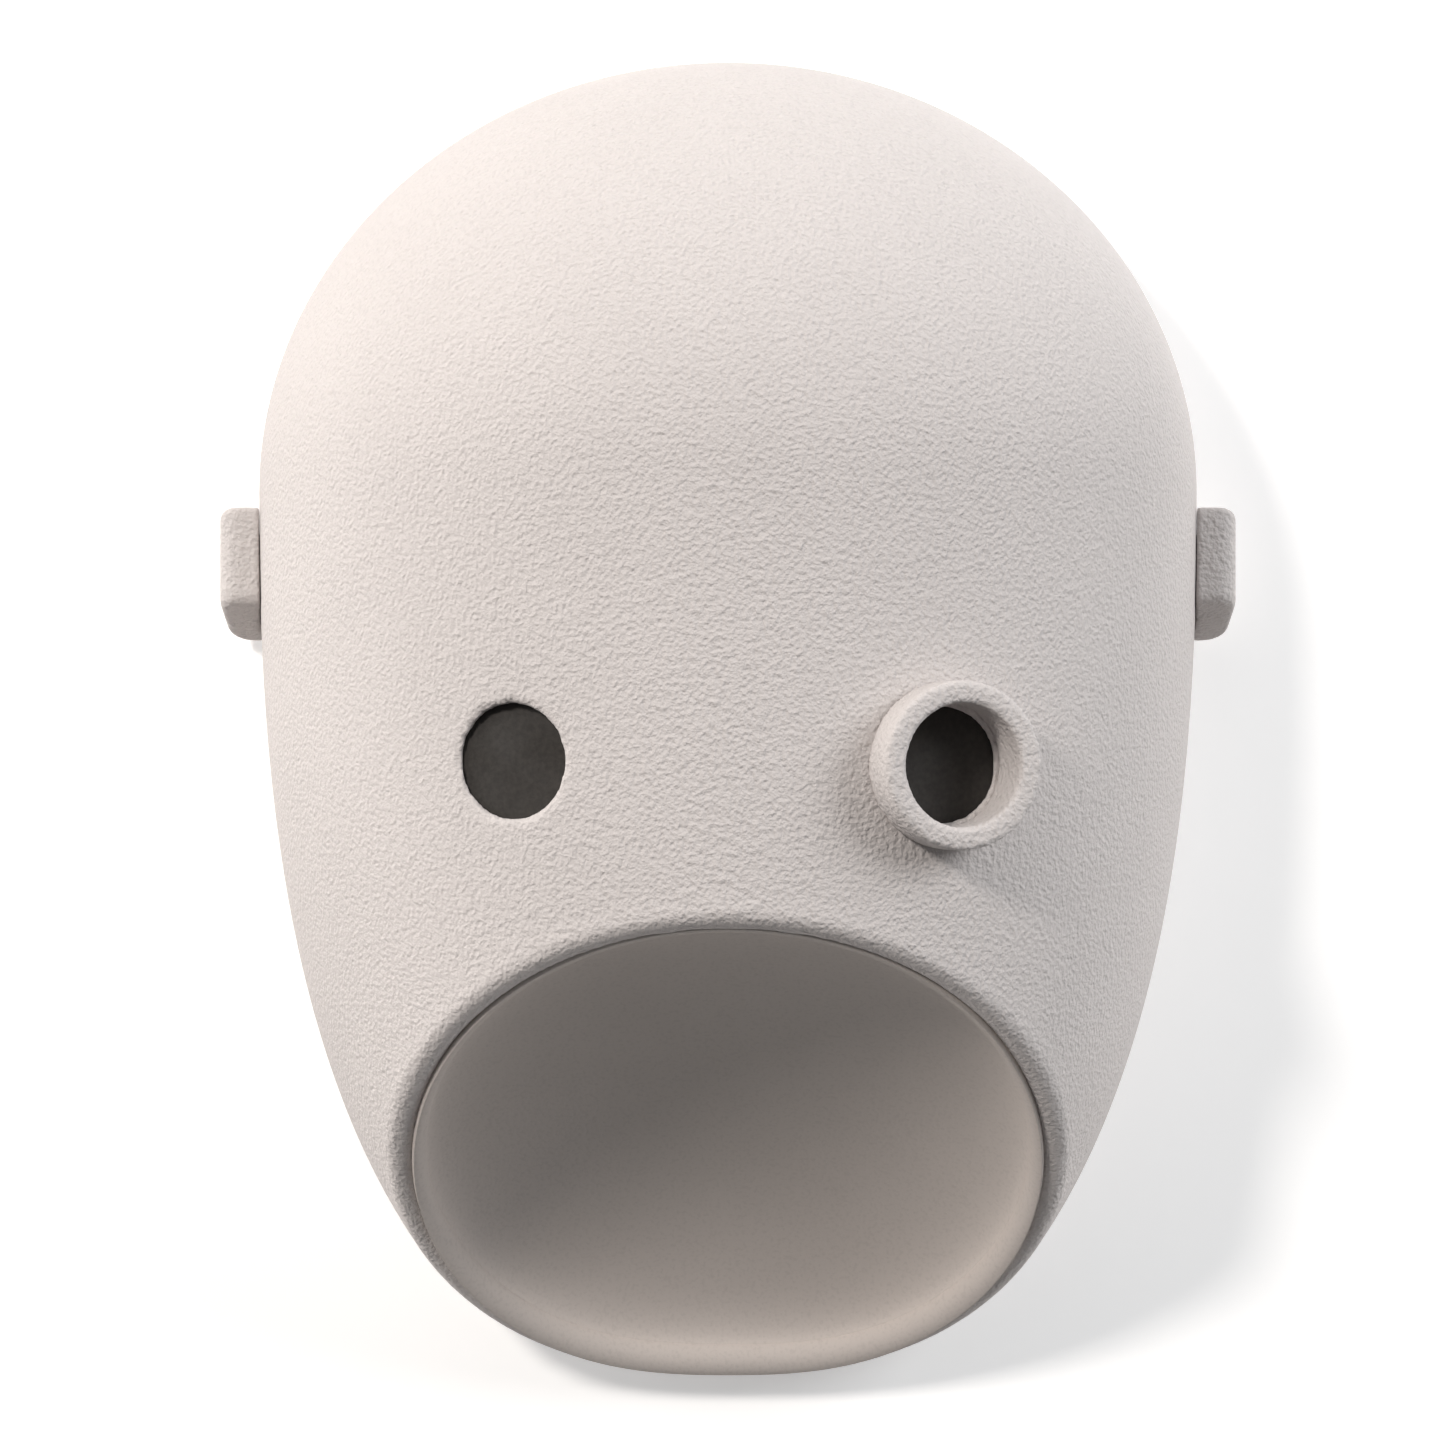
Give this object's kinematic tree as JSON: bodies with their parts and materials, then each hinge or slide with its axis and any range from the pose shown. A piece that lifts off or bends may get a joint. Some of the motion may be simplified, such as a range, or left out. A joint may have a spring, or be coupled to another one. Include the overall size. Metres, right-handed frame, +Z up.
{
  "type": "wall mask",
  "caption": "Domed wall mask with a wide round open mouth, one plain eye, one ringed eye and side ear blocks, closed by a back plate with a swinging D-ring hanger.",
  "frame": {"origin": "where the wall hook's pin bears in the D-ring when the mask hangs, on the wall plane", "axes": "+Z up, +Y into the wall, so the mask looks along -Y, and +X to the right of someone facing it"},
  "size_m": [0.2332, 0.1177, 0.3047],
  "materials": {
    "stoneware": "unglazed, fine pebbled grain",
    "stoneware_smooth": "unglazed, smooth",
    "eye_disc": "matte",
    "retainer": "moulded",
    "back_board": "moulded, fine grain",
    "zinc_steel": "zinc plated",
    "screw_steel": "zinc plated",
    "insert_brass": "turned",
    "bumper_rubber": "matte"
  },
  "bodies": {
    "mask": {"face_shell": "stoneware", "mouth_bowl": "stoneware_smooth", "eye_ring": "stoneware", "ear_left": "stoneware", "ear_right": "stoneware", "eye_disc_left": "eye_disc", "eye_disc_right": "eye_disc", "eye_retainer_left": "retainer", "eye_retainer_right": "retainer", "back_plate": "back_board", "hanger_strap": "zinc_steel", "hanger_screw_1": "screw_steel", "hanger_screw_2": "screw_steel", "screw_insert_1": "insert_brass", "screw_insert_2": "insert_brass", "wall_bumper_upper_left": "bumper_rubber", "wall_bumper_upper_right": "bumper_rubber", "wall_bumper_lower_left": "bumper_rubber", "wall_bumper_lower_right": "bumper_rubber"},
    "ring": {"hanger_ring": "zinc_steel"}
  },
  "joints": [
    {"name": "hanger_ring_swing", "type": "hinge", "parent": "mask", "child": "ring", "pos_m": [0, -0.0057, -0.01087], "axis": [-1, 0, 0], "range_deg": [0, 180]}
  ]
}
